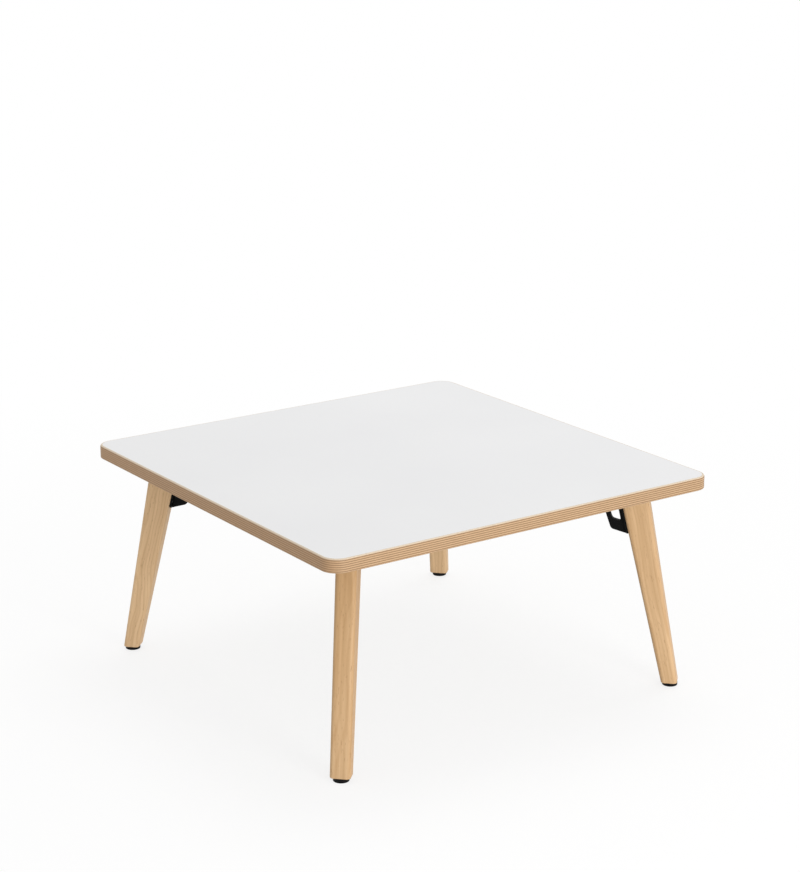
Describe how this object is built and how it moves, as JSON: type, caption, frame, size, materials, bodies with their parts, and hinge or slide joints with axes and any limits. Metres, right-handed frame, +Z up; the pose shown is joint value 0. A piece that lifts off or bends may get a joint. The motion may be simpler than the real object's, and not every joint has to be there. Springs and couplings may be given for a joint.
{
  "type": "folding low table",
  "caption": "Low square table with a white-faced plywood top, rounded corners and splayed tapered wooden legs on black hinges that fold flat under the top.",
  "frame": {"origin": "on the floor under the middle of the table top", "axes": "+Z up, +X and +Y along the sides of the top"},
  "size_m": [0.9, 0.9, 0.45],
  "materials": {
    "plywood": "satin",
    "white_laminate": "satin",
    "backing_sheet": "matte",
    "leg_wood": "satin",
    "black_metal": "satin",
    "screw_steel": "plated",
    "pin_steel": "plated",
    "spring_steel": "blued",
    "washer_plastic": "matte",
    "glide_plastic": "matte"
  },
  "bodies": {
    "table_top": {"top_core": "plywood", "top_sheet": "white_laminate", "under_sheet": "backing_sheet", "hinge_base_back_right": "black_metal", "base_screws_back_right": "screw_steel", "pivot_pin_back_right": "pin_steel", "pin_clip_back_right": "pin_steel", "pivot_washers_back_right": "washer_plastic", "detent_spring_back_right": "spring_steel", "spring_rivet_back_right": "pin_steel", "hinge_base_back_left": "black_metal", "base_screws_back_left": "screw_steel", "pivot_pin_back_left": "pin_steel", "pin_clip_back_left": "pin_steel", "pivot_washers_back_left": "washer_plastic", "detent_spring_back_left": "spring_steel", "spring_rivet_back_left": "pin_steel", "hinge_base_front_left": "black_metal", "base_screws_front_left": "screw_steel", "pivot_pin_front_left": "pin_steel", "pin_clip_front_left": "pin_steel", "pivot_washers_front_left": "washer_plastic", "detent_spring_front_left": "spring_steel", "spring_rivet_front_left": "pin_steel", "hinge_base_front_right": "black_metal", "base_screws_front_right": "screw_steel", "pivot_pin_front_right": "pin_steel", "pin_clip_front_right": "pin_steel", "pivot_washers_front_right": "washer_plastic", "detent_spring_front_right": "spring_steel", "spring_rivet_front_right": "pin_steel"},
    "folding_leg_back_right": {"leg_back_right": "leg_wood", "hinge_arm_back_right": "black_metal", "arm_screws_back_right": "screw_steel", "glide_back_right": "glide_plastic", "glide_screw_back_right": "screw_steel"},
    "folding_leg_back_left": {"leg_back_left": "leg_wood", "hinge_arm_back_left": "black_metal", "arm_screws_back_left": "screw_steel", "glide_back_left": "glide_plastic", "glide_screw_back_left": "screw_steel"},
    "folding_leg_front_left": {"leg_front_left": "leg_wood", "hinge_arm_front_left": "black_metal", "arm_screws_front_left": "screw_steel", "glide_front_left": "glide_plastic", "glide_screw_front_left": "screw_steel"},
    "folding_leg_front_right": {"leg_front_right": "leg_wood", "hinge_arm_front_right": "black_metal", "arm_screws_front_right": "screw_steel", "glide_front_right": "glide_plastic", "glide_screw_front_right": "screw_steel"}
  },
  "joints": [
    {"name": "fold_back_right", "type": "hinge", "parent": "table_top", "child": "folding_leg_back_right", "pos_m": [0.31537, 0.31537, 0.393], "axis": [-0.7071, 0.7071, 0], "range_deg": [0, 103.2], "deforming": ["detent_spring_back_right"]},
    {"name": "fold_back_left", "type": "hinge", "parent": "table_top", "child": "folding_leg_back_left", "pos_m": [-0.31537, 0.31537, 0.393], "axis": [-0.7071, -0.7071, 0], "range_deg": [0, 103.2], "deforming": ["detent_spring_back_left"]},
    {"name": "fold_front_left", "type": "hinge", "parent": "table_top", "child": "folding_leg_front_left", "pos_m": [-0.31537, -0.31537, 0.393], "axis": [0.7071, -0.7071, 0], "range_deg": [0, 103.2], "deforming": ["detent_spring_front_left"]},
    {"name": "fold_front_right", "type": "hinge", "parent": "table_top", "child": "folding_leg_front_right", "pos_m": [0.31537, -0.31537, 0.393], "axis": [0.7071, 0.7071, 0], "range_deg": [0, 103.2], "deforming": ["detent_spring_front_right"]}
  ]
}
